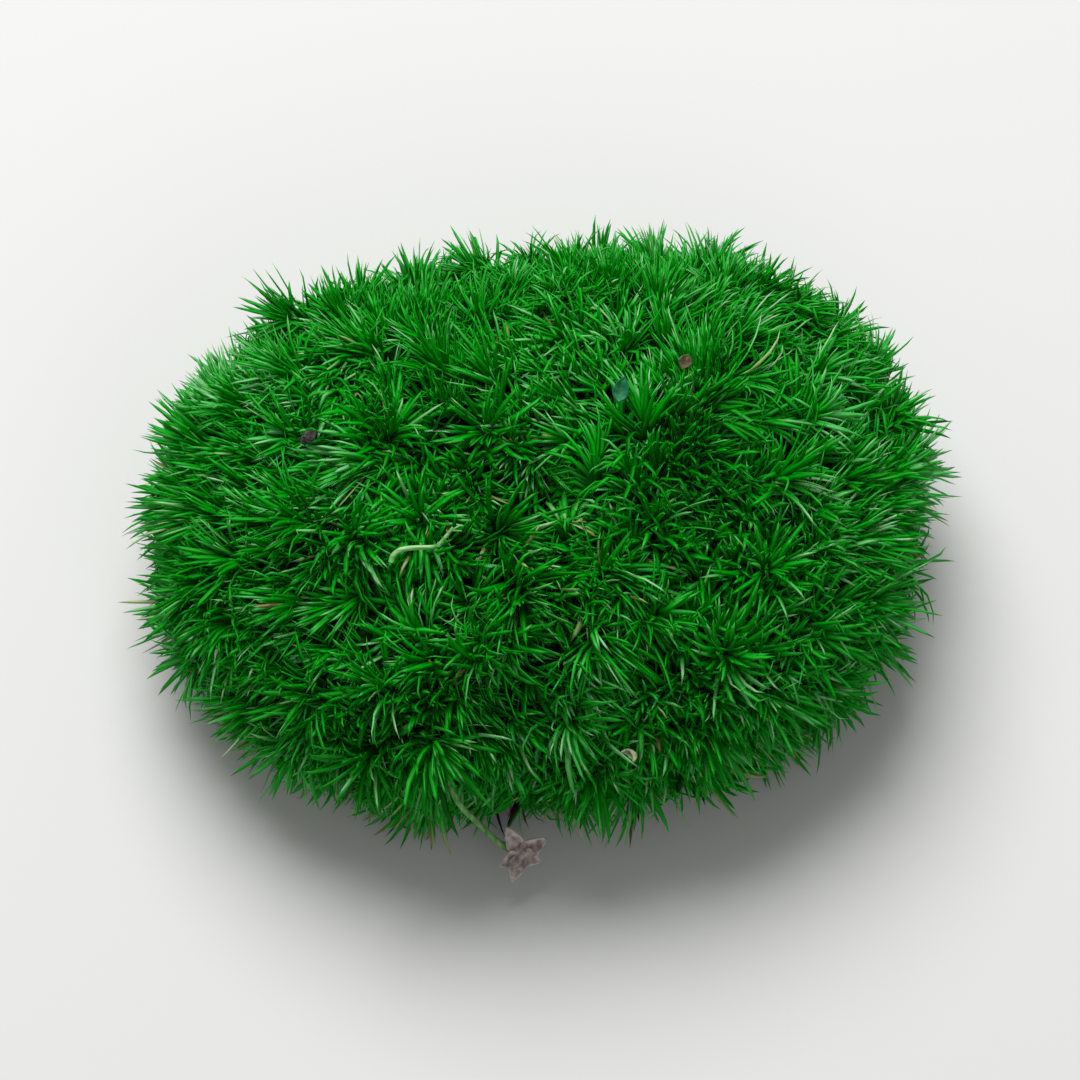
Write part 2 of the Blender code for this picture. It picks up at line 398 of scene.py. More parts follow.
def soft_noise(points, size, seed):
    """A smooth random value of about -1 to 1 at each point. size is the width of its patches."""
    dice = np.random.default_rng(seed)
    total = np.zeros(len(points))
    for _ in range(9):
        direction = unit(dice.normal(size=3))
        pace = dice.uniform(0.7, 1.4) * 2 * math.pi / size
        total += np.sin(points @ direction * pace + dice.uniform(0, 2 * math.pi))
    return total / 3


def smooth(low, high, value):
    """0 at low and 1 at high, with a soft start and a soft end between them."""
    t = np.clip((value - low) / (high - low), 0, 1)
    return t * t * (3 - 2 * t)


def outside(points):
    """True where the dome faces the open air, and not the mat under it."""
    off_mat = [mat_tree.find_nearest(Vector(p))[3] for p in points]
    return np.array(off_mat) > 1.2 * MM


def leader_gap(points):
    """Full-grown shoots stand wide apart on the front, and closer at the back."""
    back = smooth(-10 * MM, 35 * MM, points[:, 1])
    return (9.4 - 2.2 * back) * MM


def dimple(points):
    """1 in the crown's thin, half-dry dimple, a little forward of the middle, to 0 away from it."""
    across = (points[:, 0] - 1 * MM) / (11 * MM)
    along = (points[:, 1] + 9 * MM) / (9 * MM)
    return np.exp(-(across**2) - along**2)


def filler_gap(points):
    """Slender shoots fill in between them, sparser at the skirt and in the dimple."""
    skirt = smooth(9 * MM, 3 * MM, points[:, 2] - dome_low.z)
    back = smooth(0, 35 * MM, points[:, 1])
    return (3.8 + 1.4 * skirt - 0.5 * back + 1.1 * dimple(points)) * MM


leaders, leader_normals = scatter(dome_triangles, 9000, leader_gap, 11, outside)
fillers, filler_normals = scatter(dome_triangles, 16000, filler_gap, 12, outside, leaders)
shoots = np.concatenate([leaders, fillers])
shoot_normals = np.concatenate([leader_normals, filler_normals])
leads = np.arange(len(shoots)) < len(leaders)
print(len(leaders), "full-grown shoots and", len(fillers), "slender ones")

# %% [markdown]
# ## How a shoot grows
#
# Shoots fan out from below the middle of the mat: straight up on the crown, outwards at the sides,
# and they sag a little at the skirt. Leaves leave the stem in a spiral of 137.5 degrees, as in most
# plants. The young ones at the top stand up, and the old ones lower down spread out and curl back.
# Broom moss leaves also sweep to one side, so a soft field of directions pulls neighbours alike.
# A physics solver could press them together, but fields of soft noise give much the same look.


# %% Shoot directions
# The shoots fan out from a point this far under the flat cut.
FAN_DEPTH = 12 * MM


def height_share(points):
    """0 at the dome's lowest edge and 1 at its top."""
    return (points[:, 2] - dome_low.z) / (dome_high.z - dome_low.z)


def combed_side(points):
    """1 on the left, where the shoots lie combed outwards, to 0 on the right, where they stand open."""
    return smooth(2 * MM, -34 * MM, points[:, 0])


def edge_share(points):
    """0 in the dome's middle and 1 at its outline, seen from above."""
    sideways = points[:, 0] / (dome_high.x - dome_low.x)
    depthways = points[:, 1] / (dome_high.y - dome_low.y)
    return 2 * np.hypot(sideways, depthways)


def shoot_axes(points, normals):
    """The direction each shoot grows in: neighbours lean alike, and more so on the crown."""
    fan = unit(points - np.array([0, 0, -FAN_DEPTH]))
    comb = np.stack([soft_noise(points, 34 * MM, s) for s in (61, 62, 63)], axis=1)
    held = 0.12 + 0.46 * smooth(0.2, 0.85, height_share(points))[:, None]
    held *= 1 - 0.55 * smooth(0.6, 0.85, edge_share(points))[:, None]
    lean = np.random.default_rng(5).normal(scale=0.14, size=points.shape)
    aside = combed_side(points)[:, None] * held * np.array([-0.7, -0.25, 0])
    return unit(0.55 * normals + 0.45 * fan + held * comb + aside + lean)


def sweep_field(points):
    """Which way the leaf tips are drawn: outwards from the crown, with soft swirls."""
    swirl = np.stack([soft_noise(points, 24 * MM, s) for s in (21, 22, 23)], axis=1)
    outward = points * np.array([1, 1, 0])
    reach = np.linalg.norm(outward, axis=1, keepdims=True) / (50 * MM)
    force = np.clip(0.9 + 0.5 * soft_noise(points, 18 * MM, 24)[:, None], 0.1, 1.5)
    outward_share = 0.8 + 0.5 * combed_side(points)[:, None]
    return force * (swirl + outward_share * unit(outward) * reach)


shoot_directions = shoot_axes(shoots, shoot_normals)
shoot_height = height_share(shoots)
shoot_sweep = sweep_field(shoots)
lean_off = np.degrees(np.arccos(np.clip((shoot_directions * shoot_normals).sum(1), -1, 1)))
print("shoots lean", round(float(lean_off.mean())), "degrees from square to the dome, on average")


# %% Leaves of every shoot
LEADER_LEAVES = 80
FILLER_LEAVES = 54
LEAF_TURN = math.radians(137.5)


def grow_leaves(seed=3):
    """Arrays for every leaf on the dome, and the number of the shoot each one grows on."""
    dice = np.random.default_rng(seed)
    count = len(shoots)
    leaves_each = np.where(leads, LEADER_LEAVES, FILLER_LEAVES)
    shoot = np.repeat(np.arange(count), leaves_each)
    order = np.concatenate([np.arange(n) for n in leaves_each])
    young = order / (leaves_each[shoot] - 1)
    total = len(shoot)

    # Each leaf leaves its stem one turn further round than the leaf before it.
    axis = shoot_directions[shoot]
    helper = unit(np.cross(axis, np.array([0.31, 0.87, 0.39])))
    other = np.cross(axis, helper)
    spiral = order * LEAF_TURN + dice.uniform(0, 2 * math.pi, count)[shoot]
    spiral = spiral + dice.normal(scale=0.3, size=total)
    outward = helper * np.cos(spiral)[:, None] + other * np.sin(spiral)[:, None]

    # Some shoots stand open like stars, and those at the back and on the left are more shut.
    openness = 1 + 0.16 * soft_noise(shoots, 20 * MM, 27) + dice.normal(scale=0.08, size=count)
    openness *= 1 - 0.25 * smooth(-5 * MM, 35 * MM, shoots[:, 1])
    openness *= 1 - 0.3 * combed_side(shoots)
    full = leads[shoot]
    old = 1 - young
    lean = np.radians(np.where(full, 9 + 46 * old**0.8, 4 + 40 * old**0.8)) * openness[shoot]
    spread = 0.05 + 0.12 * smooth(0.0, 0.3, old)
    lean = np.maximum(lean + spread * dice.normal(size=total), 0.02)
    turn = np.radians(np.where(full, 40 + 60 * old, 34 + 60 * old))
    turn = turn * dice.uniform(0.3, 1.7, total)

    # Leaves are up to a fifth shorter and three tenths narrower at the back.
    grown = smooth(0.0, 0.4, old)
    fine = smooth(0, 36 * MM, shoots[:, 1])[shoot]
    length = np.where(full, 6.6 + 4.0 * grown, 5.6 + 3.0 * grown) * (1 - 0.2 * fine) * MM
    length = length * dice.uniform(0.68, 1.22, total)
    width = (0.96 - 0.12 * young) * (1 - 0.30 * fine) * MM * dice.uniform(0.8, 1.2, total)

    # A shoot ends below the envelope, so that its leaf tips reach up to it.
    reach = np.where(leads, 7.1 - 2.8 * openness, 8.0 - 2.2 * openness) * MM
    reach = reach * dice.uniform(0.88, 1.12, count)
    apex = shoots - shoot_directions * reach[:, None]
    stem = np.where(full, 4.6, 4.0) * MM * old
    foot = apex[shoot] - axis * stem[:, None] + outward * 0.25 * MM

    # The skirt sags, and every leaf is twisted a little.
    pull = shoot_sweep[shoot] + dice.normal(scale=0.22, size=(total, 3))
    skirt = 1 - smooth(0.0, 0.35, shoot_height)[shoot]
    pull[:, 2] -= 0.35 * skirt
    twist = dice.normal(scale=0.6, size=total)
    return dict(
        shoot=shoot, young=young, spiral=spiral % (2 * math.pi), foot=foot, axis=axis,
        outward=outward, length=length, width=width, lean=lean, turn=turn, pull=pull, twist=twist,
    )


leaves = grow_leaves()
print(len(leaves["shoot"]), "leaves, up to", round(leaves["length"].max() / MM, 1), "mm long")


# %% Tones of the leaves
def leaf_tones(leaves, seed=9):
    """How young, pale or dry each leaf is, from 0 to 1 across the leaf material's chart.

    Leaves in the dimple and low on the skirt are dry more often. Each shoot has one side where many
    leaves are pale: partly paler, drying leaves, and partly a painted highlight standing in for the
    glints on leaves that lie alike. Pale leaves are narrowed here too, as drying leaves are.
    """
    dice = np.random.default_rng(seed)
    shoot, young = leaves["shoot"], leaves["young"]
    total, count = len(shoot), len(shoots)
    patch = 0.13 * soft_noise(shoots, 22 * MM, 31) + dice.normal(scale=0.05, size=count)
    back = smooth(-10 * MM, 35 * MM, shoots[:, 1])
    # Leaves at the back get a lighter tone: painted light, as if lit from above and behind.
    tone = 0.34 + patch[shoot] + 0.10 * back[shoot] + 0.12 * young
    tone = np.clip(tone + dice.normal(scale=0.15, size=total), 0.02, 0.78)
    hollow = dimple(shoots)
    low = 1 - smooth(0.02, 0.3, shoot_height)
    dry_share = 0.003 + 0.16 * hollow + 0.09 * low
    off_side = np.abs(leaves["spiral"] - dice.uniform(0, 2 * math.pi, count)[shoot])
    painted_glint_side = np.minimum(off_side, 2 * math.pi - off_side) < dice.uniform(0.2, 0.8, count)[shoot]
    # Painted highlight: many pale leaves on one side of each shoot, and more of them at the back.
    pale_and_glint_share = np.where(painted_glint_side & (young > 0.3), 0.42, 0.04) * (1 + 0.5 * back[shoot])
    roll = dice.random(total)
    dry = roll < dry_share[shoot]
    pale = (roll >= dry_share[shoot]) & (roll < dry_share[shoot] + pale_and_glint_share)
    tone[dry] = dice.uniform(0.92, 0.995, dry.sum()) - 0.05 * hollow[shoot][dry]
    tone[pale] = dice.uniform(0.80, 0.90, pale.sum())
    print(int(dry.sum()), "dry leaves and", int(pale.sum()), "pale ones")
    leaves["width"][pale] *= (0.78 - 0.14 * back[shoot])[pale]
    return tone


tones = leaf_tones(leaves)
print("tones from", round(float(tones.min()), 2), "to", round(float(tones.max()), 2))

# %% [markdown]
# ## Room for the scraps
#
# Bits of other plants lie on the moss, and it parts round them. A leaf that would cross over a
# scrap is left out, so each scrap can be seen from above. The scraps on the front slope face
# forwards as well as up.


# %% Keep the leaves off the scraps
# Millimetres of open room round each scrap.
SCRAP_ROOM = {
    "pale_straw": 0.8,
    "calyx_star": 2.2,
    "calyx_stalk": 0.9,
    "brown_flake": 1.0,
    "pink_flake": 0.9,
    "pale_flake": 1.4,
    "leaf_bit": 1.2,
}
# A scrap that lies lower than this is on the front slope, and faces forwards too.
CROWN_HEIGHT = 35 * MM
FORWARDS_AND_UP = np.array([0, -0.42, 0.91])
STRAIGHT_UP = np.array([0, 0, 1])


def scrap_spots():
    """Places along each scrap, each with its open room and the way that room faces."""
    spots = []
    for node, room in SCRAP_ROOM.items():
        points = places_of(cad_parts[node].data.vertices)
        facing = FORWARDS_AND_UP if points[:, 2].max() < CROWN_HEIGHT else STRAIGHT_UP
        spots += [(spot, room * MM, facing) for spot in points[:: max(1, len(points) // 24)]]
    return spots


SCRAP_SPOTS = scrap_spots()
print(len(SCRAP_SPOTS), "places kept clear of leaves")


def covers_scrap(places):
    """True for each leaf that would lie over a scrap."""
    hidden = np.zeros(len(places), dtype=bool)
    for spot, room, facing in SCRAP_SPOTS:
        off = places - spot
        rise = off @ facing
        aside = np.sqrt(np.maximum((off * off).sum(-1) - rise * rise, 0))
        # A leaf that only passes behind the scrap stays.
        in_front = rise > -0.2 * MM
        hidden |= (in_front & (aside < room)).any(axis=1)
    return hidden


# %% [markdown]
# ## The dome in seven pieces
#
# All the leaves in one mesh would be too heavy to export, so the dome is split as a gardener would
# name it: crown, skirt, and the sides between them, with the back in two halves. A shoot's leaves
# stay together.


# %% Grow the dome
ZONES = ("crown", "front", "back_left", "back_right", "left", "right", "skirt")
# Leaves are painted darker down to this depth between the leaves: painted shade, partly old leaves.
PAINTED_SHADE_DEPTH = 9.5 * MM
# No leaf comes nearer to the floor than this.
LEAF_CLEARANCE = 0.3 * MM


def zone_names(points):
    """The piece that each shoot belongs to."""
    sideways = points[:, 0] / (dome_high.x - dome_low.x)
    depthways = points[:, 1] / (dome_high.y - dome_low.y)
    back = np.where(sideways > 0, "back_right", "back_left")
    names = np.where(
        np.abs(sideways) > np.abs(depthways),
        np.where(sideways > 0, "right", "left"),
        np.where(depthways > 0, back, "front"),
    )
    names[edge_share(points) < 0.52] = "crown"
    names[shoot_height < 0.26] = "skirt"
    return names


def leaf_group(blade, chosen):
    """The chosen leaves bent from one blade, without those over a scrap, ready to be joined.

    Their V is painted light: 0 for painted shade deep in the clump, and 1 for a painted highlight at a
    level tip near the top.
    """
    keys = ("foot", "axis", "outward", "length", "width", "lean", "turn", "pull", "twist")
    chosen = np.flatnonzero(chosen)
    places, level = bent_blades(blade, **{key: leaves[key][chosen] for key in keys})
    clear = ~covers_scrap(places)
    chosen, places, level = chosen[clear], places[clear], level[clear]
    shoot = leaves["shoot"][chosen]
    below = ((shoots[shoot][:, None] - places) * shoot_directions[shoot][:, None]).sum(-1)
    # Painted light: painted shade deeper in the clump, partly old leaves, and a painted highlight where
    # a leaf lies level near the top.
    painted_light_by_depth = smooth(PAINTED_SHADE_DEPTH, 0.5 * MM, below)
    age_and_painted_light = 0.28 * blade[0][:, 2][None] + 0.5 * painted_light_by_depth + 0.35 * painted_light_by_depth * level**2
    age_and_painted_light = np.minimum(age_and_painted_light, 1)
    places[..., 2] = np.maximum(places[..., 2], LEAF_CLEARANCE)
    return blade, places, tones[chosen], age_and_painted_light


def dome_piece(zone):
    """One zone's leaves as a piece: broad blades on full-grown shoots, slim ones on the others."""
    chosen = zones[leaves["shoot"]] == zone
    full = leads[leaves["shoot"]]
    groups = [leaf_group(LONG_LEAF, chosen & full), leaf_group(SLIM_LEAF, chosen & ~full)]
    piece = joined_blades("moss_" + zone, groups, MOSS_LEAF)
    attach(piece, "root")
    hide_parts("moss_cushion")
    return piece


zones = zone_names(shoots)
dome_pieces = [dome_piece(zone) for zone in ZONES]
print(sum(len(piece.data.polygons) for piece in dome_pieces), "triangles of leaves")

# %% [markdown]
# ## The bed of stems
#
# Between the leaves the eye meets the imported stems and last year's dark leaves, coloured near black,
# partly as painted shade. A ball of small faces is drawn out in every direction towards the envelope,
# and stops one leaf length short of it.


# %% Humus and stem materials
def humus():
    """Rotted moss and needle crumbs: matte, dark brown, with paler threads through it.

    The crumbs are about a millimetre across, and the threads lie about three millimetres apart.
    """
    made, tree, shader = new_material("rotted_humus", roughness=0.95)
    place = add_node(tree, "ShaderNodeTexCoord").outputs["Object"]
    crumbs = add_node(
        tree, "ShaderNodeTexNoise", {"Vector": place}, in_Scale=900.0, in_Detail=6.0
    )
    crumb_stops = [(0.30, "#120B07"), (0.5, "#2E2016"), (0.62, "#4A3626"), (0.75, "#6E5A41")]
    threads = add_node(
        tree,
        "ShaderNodeTexNoise",
        {"Vector": place},
        in_Scale=300.0,
        in_Detail=3.0,
        in_Distortion=4.0,
    )
    dark = add_node(tree, "ShaderNodeValToRGB", {"Fac": crumbs.outputs["Fac"]}, crumb_stops)
    pale = add_node(
        tree,
        "ShaderNodeValToRGB",
        {"Fac": threads.outputs["Fac"]},
        [(0.5, "#000000"), (0.62, "#FFFFFF")],
    )
    mixed = add_node(
        tree,
        "ShaderNodeMix",
        {"Factor": pale.outputs["Color"], 6: dark.outputs["Color"]},
        data_type="RGBA",
    )
    mixed.inputs[7].default_value = linear("#5B4A33")
    tree.links.new(mixed.outputs[2], shader.inputs["Base Color"])
    bump = add_node(
        tree,
        "ShaderNodeBump",
        {"Height": crumbs.outputs["Fac"]},
        in_Strength=0.6,
        in_Distance=0.6 * MM,
    )
    tree.links.new(bump.outputs["Normal"], shader.inputs["Normal"])
    return made


def old_stems_and_shade():
    """Packed stems and old leaves, darkened towards black as painted shade: matte, dark green to olive,
    mottled every 1.4 millimetres.
    """
    made, tree, shader = new_material("old_stems_and_shade", roughness=0.9, Specular_IOR_Level=0.1)
    place = add_node(tree, "ShaderNodeTexCoord").outputs["Object"]
    grain = add_node(
        tree, "ShaderNodeTexNoise", {"Vector": place}, in_Scale=700.0, in_Detail=4.0
    )
    shade = add_node(
        tree,
        "ShaderNodeValToRGB",
        {"Fac": grain.outputs["Fac"]},
        [(0.35, "#001402"), (0.55, "#042A06"), (0.7, "#1C2A0C")],
    )
    tree.links.new(shade.outputs["Color"], shader.inputs["Base Color"])
    return made


HUMUS = humus()
OLD_STEMS_AND_SHADE = old_stems_and_shade()
print("materials:", HUMUS.name, "and", OLD_STEMS_AND_SHADE.name)


# %% Grow the bed
def add_piece(name, bm, material, node, smooth_angle=60):
    """Turns a bmesh into a piece that rides on the root and stands for a CAD node."""
    mesh = bpy.data.meshes.new(name)
    bm.to_mesh(mesh)
    bm.free()
    mesh.shade_smooth()
    mesh.set_sharp_from_angle(angle=math.radians(smooth_angle))
    mesh.materials.append(material)
    made = bpy.data.objects.new(name, mesh)
    bpy.context.scene.collection.objects.link(made)
    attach(made, "root")
    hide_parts(node)
    print(name, len(mesh.polygons), "faces")
    return made


def bed_of_stems():
    """A closed ball drawn out to the dome: a leaf's length short of it, except underneath."""
    centre = Vector((0, 0, mat_top + 2 * MM))
    bm = bmesh.new()
    bmesh.ops.create_icosphere(bm, subdivisions=5, radius=1.0)
    for vert in bm.verts:
        direction = vert.co.normalized()
        reach = dome_tree.ray_cast(centre, direction)[3]
        upward = float(smooth(-0.30, 0.0, direction.z))
        short = (0.6 + 5.8 * upward) * MM
        vert.co = centre + direction * max(reach - short, 1.0 * MM)
    points = places_of(bm.verts)
    rough = soft_noise(points, 5 * MM, 41) * 0.7 * MM
    bm.normal_update()
    for vert, push in zip(bm.verts, rough):
        if vert.co.z > centre.z:
            vert.co += vert.normal * float(push)
    return add_piece("moss_stem_bed", bm, OLD_STEMS_AND_SHADE, "moss_cushion")


bed_of_stems()

# %% [markdown]
# ## The root mat
#
# Under the moss is what it grew on: rotted shoots, thread-like rhizoids and humus. It was cut with
# a knife, so its underside is flat. The solid's mesh is copied, merged and divided until it can
# take a rough side, and the flat cut is left where it is. Dead leaves and threads stick out of it.


# %% Root mat body
def merged_copy(node):
    """A bmesh of a CAD node with its loose triangles joined."""
    bm = bmesh.new()
    bm.from_mesh(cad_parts[node].data)
    bmesh.ops.remove_doubles(bm, verts=bm.verts, dist=0.01 * MM)
    return bm


def root_mat():
    """The mat's body, with a rough side and a flat underside."""
    bm = merged_copy("root_mat")
    long_edges = [e for e in bm.edges if e.calc_length() > 2.2 * MM]
    bmesh.ops.subdivide_edges(bm, edges=long_edges, cuts=2, use_grid_fill=True)
    bmesh.ops.triangulate(bm, faces=bm.faces)
    points = places_of(bm.verts)
    rough = 0.55 * soft_noise(points, 3.5 * MM, 51) + 0.35 * soft_noise(points, 1.6 * MM, 52)
    bm.normal_update()
    for vert, push in zip(bm.verts, rough):
        if vert.co.z > 0.3 * MM:
            vert.co += Vector((vert.normal.x, vert.normal.y, 0)) * float(push) * MM
    return add_piece("root_mat_body", bm, HUMUS, "root_mat")


root_mat()


# %% [markdown]
# ## What sticks out of the mat
#
# Rhizoids hang from the mat's side as brown threads, with dead leaves and crumbs of humus between
# them. Noise alone would leave the side looking like a loaf of bread, so these are real blades,
# bent by the same function as the moss leaves, and a crumb is a ball of a few faces.


# %% Dead moss material
def dead_moss():
    """Dead moss and needles: matte, straw to near black, darker where they leave the humus."""
    made, tree, shader = new_material("dead_moss", roughness=0.85, Specular_IOR_Level=0.2)
    chart = add_node(tree, "ShaderNodeUVMap", uv_map="OFBake")
    parts = add_node(tree, "ShaderNodeSeparateXYZ", {"Vector": chart.outputs["UV"]})
    tone_stops = [
        (0.0, "#150E08"),
        (0.3, "#2F2013"),
        (0.6, "#523A22"),
        (0.85, "#7F6640"),
        (1.0, "#AC9A6E"),
    ]
    shade = add_node(tree, "ShaderNodeValToRGB", {"Fac": parts.outputs["X"]}, tone_stops)
    rise = add_node(
        tree,
        "ShaderNodeValToRGB",
        {"Fac": parts.outputs["Y"]},
        [(0.0, "#606060"), (0.7, "#FFFFFF")],
    )
    whole = add_node(
        tree,
        "ShaderNodeMix",
        {6: shade.outputs["Color"], 7: rise.outputs["Color"]},
        data_type="RGBA",
        blend_type="MULTIPLY",
        in_Factor=1.0,
    )
    tree.links.new(whole.outputs[2], shader.inputs["Base Color"])
    return made


DEAD_MOSS = dead_moss()
print("material:", DEAD_MOSS.name)


# %% Shapes on the mat's side
# No thread or crumb comes nearer to the floor than this.
MAT_CLEARANCE = 0.2 * MM


def ball_mesh():
    """Points and triangles of a ball with a few faces, one unit across."""
    bm = bmesh.new()
    bmesh.ops.create_icosphere(bm, subdivisions=1, radius=0.5)
    return arrays_of(bm)


def on_mat_side(tries, seed):
    """Random places on the mat's rough side, where it is open to the air."""
    points, normals = throw(mat_triangles, tries, seed)
    side = (np.abs(normals[:, 2]) < 0.85) & (points[:, 2] > 0.8 * MM) & (points[:, 2] < 9 * MM)
    return points[side], normals[side]


def mat_blades(tries, seed, length, width, droop, tone):
    """A group of threads or dead leaves that stick out of the mat's side.

    length, width and tone are the lowest and highest of a leaf's own; droop pulls their tips down.
    """
    dice = np.random.default_rng(seed)
    foot, normals = on_mat_side(tries, seed)
    total = len(foot)
    axis = unit(normals + dice.normal(scale=0.9, size=(total, 3)))
    axis = unit(axis + normals * np.maximum(0, 0.15 - (axis * normals).sum(1))[:, None])
    outward = unit(np.cross(axis, unit(dice.normal(size=(total, 3)))))
    pull = dice.normal(scale=0.4, size=(total, 3))
    pull[:, 2] -= droop
    places, _ = bent_blades(
        SLIM_LEAF,
        foot - normals * 0.5 * MM,
        axis,
        outward,
        dice.uniform(*length, total) * MM,
        dice.uniform(*width, total) * MM,
        dice.uniform(0, 0.5, total),
        dice.uniform(0.2, 2.0, total),
        pull,
        dice.normal(scale=0.8, size=total),
    )
    places[..., 2] = np.maximum(places[..., 2], MAT_CLEARANCE)
    age_and_painted_light = np.tile(SLIM_LEAF[0][:, 2], (total, 1))
    return SLIM_LEAF, places, dice.uniform(*tone, total), age_and_painted_light


BALL = ball_mesh()
print("a crumb has", len(BALL[1]), "triangles")


def mat_crumbs(tries, seed):
    """Humus crumbs stuck to the mat's side."""
    dice = np.random.default_rng(seed)
    middles, _ = on_mat_side(tries, seed)
    total = len(middles)
    sizes = dice.uniform(0.4, 1.3, (total, 3)) * MM
    knobs = 1 + dice.normal(scale=0.16, size=(total, len(BALL[0]), 1))
    places = middles[:, None] + BALL[0][None] * sizes[:, None] * knobs
    places[..., 2] = np.maximum(places[..., 2], MAT_CLEARANCE)
    return BALL, places, dice.uniform(0.05, 0.7, total), np.full((total, len(BALL[0])), 0.8)


# %% Threads, dead leaves and crumbs
def mat_litter(name, group):
    """A group of many small things as one piece that stands for the mat."""
    piece = joined_blades(name, [group], DEAD_MOSS)
    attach(piece, "root")
    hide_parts("root_mat")


threads = mat_blades(9000, 71, length=(1.5, 5), width=(0.1, 0.24), droop=0.3, tone=(0.1, 0.85))
dead_leaves = mat_blades(3200, 72, length=(3, 6.5), width=(0.4, 0.8), droop=0.5, tone=(0.25, 1))
mat_litter("root_mat_threads", threads)
mat_litter("root_mat_dead_leaves", dead_leaves)
mat_litter("root_mat_crumbs", mat_crumbs(1800, 73))

# %% [markdown]
# ## Bits of other plants
#
# A clump from a wood carries litter with it: a dry straw, the star of a dried flower on its green
# stalk, a chip of bark, scales and chaff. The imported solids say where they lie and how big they
# are. They are thin things, so they are modelled as thin things: rings bridged into a tube, or a
# grid drawn in to a point at both ends, bent, and given a paper-thin thickness.


# %% Litter finishes
def dried(name, roughness, pace, stops, relief=0.1):
    """Dry plant matter: matte, with fibres.

    pace is how often its grain repeats in a metre, on X, Y and Z. relief is the height of its
    fibres in millimetres.
    """
    made, tree, shader = new_material(name, roughness, Specular_IOR_Level=0.25)
    place = add_node(tree, "ShaderNodeTexCoord").outputs["Object"]
    paced = add_node(tree, "ShaderNodeMapping", {"Vector": place}, in_Scale=pace)
    grain = add_node(
        tree,
        "ShaderNodeTexNoise",
        {"Vector": paced.outputs["Vector"]},
        in_Scale=1.0,
        in_Detail=4.0,
    )
    shade = add_node(tree, "ShaderNodeValToRGB", {"Fac": grain.outputs["Fac"]}, stops)
    tree.links.new(shade.outputs["Color"], shader.inputs["Base Color"])
    bump = add_node(
        tree,
        "ShaderNodeBump",
        {"Height": grain.outputs["Fac"]},
        in_Strength=0.6,
        in_Distance=relief * MM,
    )
    tree.links.new(bump.outputs["Normal"], shader.inputs["Normal"])
    return made


# Straw that is still a little green: satin, with fibres 0.4 mm apart along it.
DRY_STRAW = dried(
    "greenish_straw", 0.5, (200, 2500, 2500), [(0.3, "#3E8A38"), (0.5, "#6AAE5E"), (0.68, "#A4C890")]
)
# A dead flower's sepals: papery, pinkish grey, blotched every millimetre or so.
DRY_PETAL = dried(
    "papery_sepal", 0.8, (900, 900, 900), [(0.3, "#7C6C6C"), (0.48, "#B0A29F"), (0.66, "#D2C8C4")]
)
# A green stem that has begun to dry: its fibres run up it.
GREEN_STALK = dried(
    "drying_stem", 0.5, (1800, 1800, 260), [(0.32, "#3A7032"), (0.52, "#5A924A"), (0.7, "#82AC6C")]
)
# Bark: dark, with a faint mauve bloom, and flaking.
BROWN_BARK = dried(
    "flaking_bark", 0.9, (1400, 1400, 1400), [(0.3, "#1A1717"), (0.5, "#383233"), (0.7, "#5A5354")], 0.2
)
# A bud's scale: leathery, a dull olive brown.
DRY_SCALE = dried(
    "leathery_scale", 0.75, (1400, 1400, 1400), [(0.3, "#3A3424"), (0.5, "#58503A"), (0.7, "#7C7256")]
)
# Chaff: the husk of a grass seed, greenish straw.
PALE_CHAFF = dried(
    "grass_husk", 0.7, (1300, 1300, 500), [(0.3, "#66744E"), (0.5, "#8E9870"), (0.68, "#B6A690")]
)
# A little leaf of some other plant, with a blue bloom.
LEAF_BIT = dried(
    "bloomed_leaf", 0.55, (1100, 1100, 1100), [(0.3, "#0C4A2C"), (0.5, "#1A6A42"), (0.7, "#428C68")]
)


# %% Curves for the tubes
def ring_centres(node, rings=4):
    """The middles of a tube node's rings, in order along it, lowest x first."""
    bm = merged_copy(node)
    points = places_of(bm.verts)
    bm.free()
    middle = points.mean(axis=0)
    along = np.linalg.svd(points - middle, full_matrices=False)[2][0]
    order = np.argsort((points - middle) @ along)
    centres = points[order].reshape(rings, -1, 3).mean(axis=1)
    return centres if centres[0, 0] < centres[-1, 0] else centres[::-1]


def middle_of(node):
    """The middle of a CAD node's box."""
    low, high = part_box(node)
    return (Vector(low) + Vector(high)) / 2


def eased(points, count):
    """count places along one smooth curve through the points."""
    run = np.concatenate([[0], np.cumsum(np.linalg.norm(np.diff(points, axis=0), axis=1))])
    bends = np.polyfit(run, points, len(points) - 1)
    at = np.linspace(0, run[-1], count)
    return np.stack([np.polyval(bends[:, k], at) for k in range(3)], axis=1)


def add_tube(bm, centres, widths, sides=10):
    """Adds a closed tube to bm: a ring at each centre, bridged to the next."""
    rings = []
    last = len(centres) - 1
    for i, centre in enumerate(centres):
        ahead = Vector(centres[min(i + 1, last)] - centres[max(i - 1, 0)])
        turn = ahead.to_track_quat("Z", "Y").to_matrix().to_4x4()
        ring = bmesh.ops.create_circle(
            bm,
            cap_ends=i in (0, last),
            segments=sides,
            radius=widths[i] / 2,
            matrix=Matrix.Translation(centre) @ turn,
        )
        rings.append(list(dict.fromkeys(e for v in ring["verts"] for e in v.link_edges)))
    for low, high in zip(rings, rings[1:]):
        bmesh.ops.bridge_loops(bm, edges=low + high)
    bmesh.ops.recalc_face_normals(bm, faces=bm.faces)


